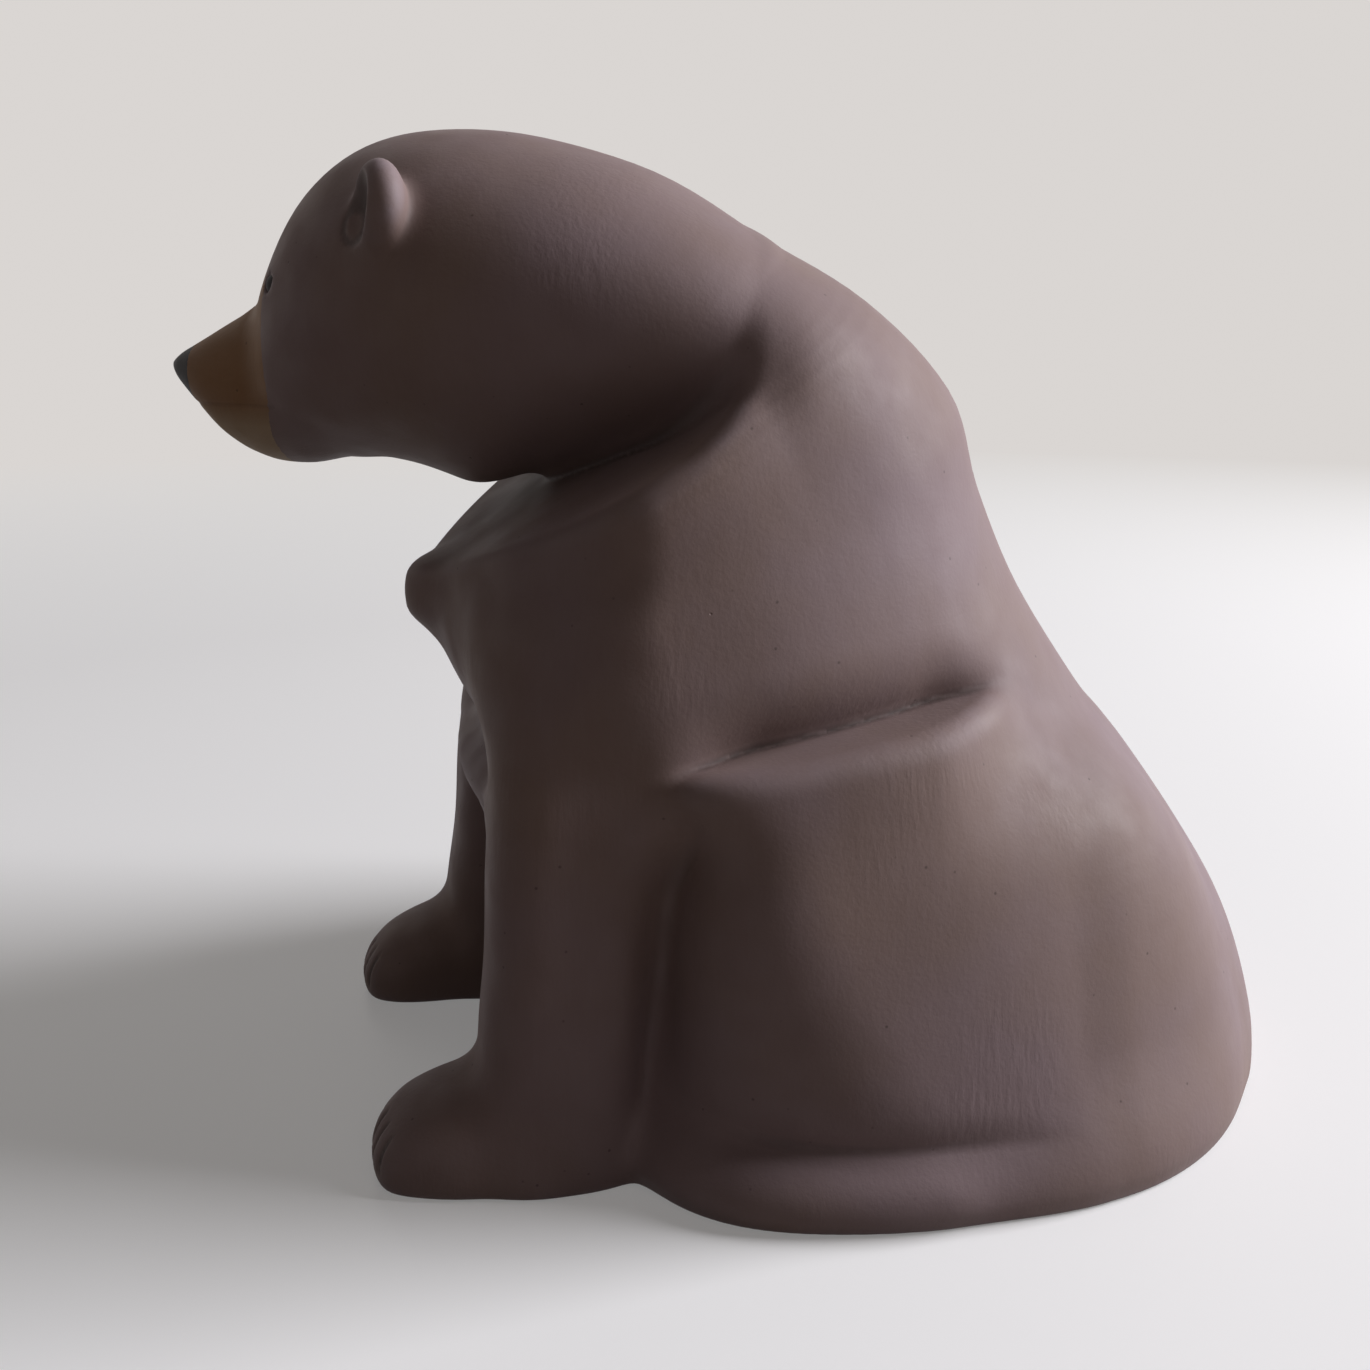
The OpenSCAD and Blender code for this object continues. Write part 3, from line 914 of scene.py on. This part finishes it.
def paint_colour(tree, place, streaks, tones, top):
    """Two tones in clouds, paler on ridges with wear and painted sheen, darker with painted shade in creases
    and in the ear's hollow, and dark in incised lines and specks.
    """
    clouds = span(tree, noise(tree, place, CLOUD_SIZE, FINE), *CLOUD_RANGE)
    colour = mix(tree, clouds, tones["warm"], tones["cool"])
    if top is not None:
        tone, high, low = top
        height = add(tree, "SeparateXYZ", {"Vector": place}).outputs["Z"]
        colour = mix(tree, span(tree, height, high * MM, low * MM), tone, colour)
    colour = mix(tree, span(tree, streaks, *STREAK_WEAR), colour, tones["wear_and_sheen"])
    ridge = attribute(tree, "ridge")
    wear_and_sheen_patches = span(tree, noise(tree, place, WEAR_AND_SHEEN_SIZE, FINE), *MIDDLE, *WEAR_AND_SHEEN_SHARE)
    # Wear and a painted sheen make the ridges paler in patches
    colour = mix(tree, times(tree, span(tree, ridge, *RIDGE_RANGE), wear_and_sheen_patches), colour, tones["wear_and_sheen"])
    # Painted shade darkens the creases
    colour = mix(tree, span(tree, ridge, *CREASE_SHADE), colour, tones["dark_and_shade"])
    specks = spots(tree, place, *SPECKS)
    colour = mix(tree, times(tree, specks, SPECK_SHARE), colour, tones["dark_and_shade"])
    # Incised lines are dark, and the ear's hollow gets painted shade
    return mix(tree, span(tree, attribute(tree, "mark_and_shade"), *MARK_DARK_AND_SHADE), colour, tones["dark_and_shade"])


def paint_relief(tree, place, streaks):
    """Fine grain, brush streaks in some places, shallow dents and small pits."""
    normal = bump(tree, noise(tree, place, GRAIN_SIZE, FINE), GRAIN_DEPTH)
    brushed = times(tree, streaks, span(tree, noise(tree, place, BRUSHED_SIZE), *BRUSHED_RANGE))
    normal = bump(tree, brushed, BRUSH_DEPTH, normal)
    normal = bump(tree, noise(tree, place, DENT_SIZE), DENT_DEPTH, normal)
    return bump(tree, span(tree, spots(tree, place, *PITS), 0, 1, 1, 0), PIT_DEPTH, normal)


def paint(name, tones, top=None):
    """Matte brushed paint. top is a tone for its upper edge and the heights between which that fades."""
    material, tree, shader, place = new_material(name)
    stretched = add(tree, "Mapping", {"Vector": place, "Rotation": STREAK_TURN, "Scale": STREAK_STRETCH})
    streaks = noise(tree, stretched.outputs["Vector"], STREAK_SIZE, FINE)
    roughness = span(tree, noise(tree, place, GLOSS_SIZE, FINE), *MIDDLE, *ROUGHNESS)
    tree.links.new(paint_colour(tree, place, streaks, tones, top), shader.inputs["Base Color"])
    tree.links.new(roughness, shader.inputs["Roughness"])
    shader.inputs["Specular IOR Level"].default_value = SPECULAR
    tree.links.new(paint_relief(tree, place, streaks), shader.inputs["Normal"])
    return material


def bare_clay():
    """Unglazed clay with grog specks."""
    material, tree, shader, place = new_material("bare_clay")
    colour = mix(tree, noise(tree, place, CLAY_SIZE, FINEST), CLAY_PALE, CLAY_DARK)
    colour = mix(tree, spots(tree, place, *GROG), colour, GROG_COLOUR)
    tree.links.new(colour, shader.inputs["Base Color"])
    shader.inputs["Roughness"].default_value = CLAY_ROUGHNESS
    relief = bump(tree, noise(tree, place, CLAY_GRAIN_SIZE, FINEST), CLAY_GRAIN_DEPTH)
    tree.links.new(relief, shader.inputs["Normal"])
    return material


def pin_wood():
    """Turned beech with fine grain."""
    material, tree, shader, place = new_material("pin_wood")
    stretched = add(tree, "Mapping", {"Vector": place, "Scale": WOOD_STRETCH}).outputs["Vector"]
    grain = noise(tree, stretched, WOOD_SIZE, FINE)
    tree.links.new(mix(tree, grain, WOOD_PALE, WOOD_DARK), shader.inputs["Base Color"])
    shader.inputs["Roughness"].default_value = WOOD_ROUGHNESS
    tree.links.new(bump(tree, grain, WOOD_DEPTH), shader.inputs["Normal"])
    return material


# Each paint's tones: two cloud tones, a paler one for wear and painted sheen, and a dark one for lines,
# specks and painted shade
BROWN = paint("brown_paint", {
    "warm": (0.2, 0.142, 0.128),
    "cool": (0.213, 0.158, 0.166),
    "wear_and_sheen": (0.27, 0.22, 0.24),
    "dark_and_shade": (0.03, 0.02, 0.018),
})
TAN = paint("tan_paint", {
    "warm": (0.24, 0.133, 0.068),
    "cool": (0.255, 0.147, 0.08),
    "wear_and_sheen": (0.3, 0.2, 0.14),
    "dark_and_shade": (0.05, 0.03, 0.02),
})
PALE_TAN_TONES = {
    "warm": (0.36, 0.26, 0.17),
    "cool": (0.385, 0.285, 0.19),
    "wear_and_sheen": (0.42, 0.32, 0.23),
    "dark_and_shade": (0.06, 0.04, 0.03),
}
JAW_TOP_TONE = (0.245, 0.138, 0.072)
PALE_TAN = paint("pale_tan_paint", PALE_TAN_TONES, top=(JAW_TOP_TONE, MOUTH_Z, MOUTH_Z - JAW_FADE))
BLACK = paint("black_paint", {
    "warm": (0.012, 0.01, 0.01),
    "cool": (0.018, 0.015, 0.015),
    "wear_and_sheen": (0.04, 0.036, 0.038),
    "dark_and_shade": (0.004, 0.003, 0.003),
})
CLAY = bare_clay()
WOOD = pin_wood()
# The sections that are not brown, and the inner nodes, which are shown as they are
FINISHES = {"muzzle": TAN, "lower_jaw": PALE_TAN, "nose": BLACK, "eye_left": BLACK, "eye_right": BLACK}
INNER_FINISHES = {
    "base_plate": CLAY,
    "neck_sleeve": CLAY,
    "face_pins": WOOD,
    "ear_pins": WOOD,
    "foreleg_pins": WOOD,
    "haunch_pins": WOOD,
    "hind_foot_pins": WOOD,
}


def add_piece(piece, node):
    """Gives a piece its finish and lets it stand for its node."""
    piece.data.materials.append(FINISHES.get(node, BROWN))
    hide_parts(node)
    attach(piece, "root")


for node, own, near, pitch in SECTIONS:
    add_piece(sculpted(node, section_field(node, own, near), figure_field(near), pitch), node)
for node in ("eye_left", "eye_right"):
    add_piece(sculpted(node, eye_field(node), eye_field(node), EYE_PITCH), node)

for node, finish in INNER_FINISHES.items():
    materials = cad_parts[node].data.materials
    materials.clear()
    materials.append(finish)

# Stage: a pale floor that fades into a pale backdrop between two distances
BACKDROP = (0.70, 0.67, 0.65)
FLOOR = (0.93, 0.93, 0.93)
FADE = (0.7, 2.2)
FLOOR_HALF = 6.0
FLOOR_ROUGHNESS = 0.35
# The floor's colour for the light that it throws back, and the share of it that glows near the figure
FLOOR_BOUNCE = (0.16, 0.13, 0.105)
FLOOR_GLOW = 0.2
# The light from all round
AMBIENT = (0.035, 0.025, 0.019)


def seen_directly(tree):
    """1 for camera, glossy and transmission rays."""
    path = tree.nodes.new("ShaderNodeLightPath")
    seen = path.outputs["Is Camera Ray"]
    for name in ("Is Glossy Ray", "Is Transmission Ray"):
        seen = add(tree, "Math", {0: seen, 1: path.outputs[name]}, operation="MAXIMUM").outputs[0]
    return seen


def make_floor():
    mesh = bpy.data.meshes.new("floor")
    level = CAD_BOX[0][2]
    corners = [(x * FLOOR_HALF, y * FLOOR_HALF, level) for x, y in ((-1, -1), (1, -1), (1, 1), (-1, 1))]
    mesh.from_pydata(corners, [], [(0, 1, 2, 3)])
    floor = bpy.data.objects.new("floor", mesh)
    bpy.context.collection.objects.link(floor)
    material, tree, shader, place = new_material("floor")
    seen = seen_directly(tree)
    tree.links.new(mix(tree, seen, FLOOR_BOUNCE, FLOOR), shader.inputs["Base Color"])
    shader.inputs["Roughness"].default_value = FLOOR_ROUGHNESS
    shader.inputs["Specular IOR Level"].default_value = SPECULAR
    away = add(tree, "VectorMath", {0: place}, operation="LENGTH").outputs["Value"]
    share = times(tree, span(tree, away, *FADE, FLOOR_GLOW, 1), seen)
    glow_colour = mix(tree, span(tree, away, *FADE), FLOOR, BACKDROP)
    glow = add(tree, "Emission", {"Color": glow_colour, "Strength": 1.0})
    both = add(tree, "MixShader", {0: share, 1: shader.outputs[0], 2: glow.outputs[0]})
    tree.links.new(both.outputs[0], tree.nodes["Material Output"].inputs["Surface"])
    mesh.materials.append(material)


def make_world():
    world = bpy.data.worlds.new("world")
    bpy.context.scene.world = world
    world.use_nodes = True
    tree = world.node_tree
    colour = mix(tree, seen_directly(tree), AMBIENT, BACKDROP)
    tree.links.new(colour, tree.nodes["Background"].inputs["Color"])


# The photograph's view: where the camera stands in drawn millimetres, its tilt and turn, and its lens
PHOTO_SIZE = 1370
FOCAL_PIXELS = 1400
CAMERA_AT = (415.3, -140, 231)
CAMERA_TILT = math.radians(75.4)
CAMERA_TURN = math.radians(76.5)
SENSOR = 36


def make_camera():
    data = bpy.data.cameras.new("camera")
    data.sensor_width = SENSOR
    data.lens = SENSOR * FOCAL_PIXELS / PHOTO_SIZE
    camera = bpy.data.objects.new("camera", data)
    camera.location = [value * MM for value in CAMERA_AT]
    camera.rotation_euler = (CAMERA_TILT, 0, CAMERA_TURN)
    bpy.context.collection.objects.link(camera)
    bpy.context.scene.camera = camera


# Lamps aim at one point. Each is so far to the right of the view, ahead and up, in metres, with its size,
# watts and colour
AIM = Vector((0, -0.02, 0.14))
LAMPS = {
    "window": ((2.6, 0.18, 1.35), 1.5, 140, (0.97, 0.96, 1.0)),
    "room": ((1.0, -2.3, 1.6), 2.0, 3.5, (1.0, 0.88, 0.8)),
}


def make_lamps():
    right = Vector((math.cos(CAMERA_TURN), math.sin(CAMERA_TURN), 0))
    ahead = Vector((-math.sin(CAMERA_TURN), math.cos(CAMERA_TURN), 0))
    for name, (place, size, watts, colour) in LAMPS.items():
        data = bpy.data.lights.new(name, "AREA")
        data.size = size
        data.energy = watts
        data.color = colour
        lamp = bpy.data.objects.new(name, data)
        lamp.location = AIM + right * place[0] + ahead * place[1] + Vector((0, 0, place[2]))
        lamp.rotation_euler = (AIM - lamp.location).to_track_quat("-Z", "Y").to_euler()
        bpy.context.collection.objects.link(lamp)


make_floor()
make_world()
make_camera()
make_lamps()
bpy.context.scene.view_settings.view_transform = "Standard"
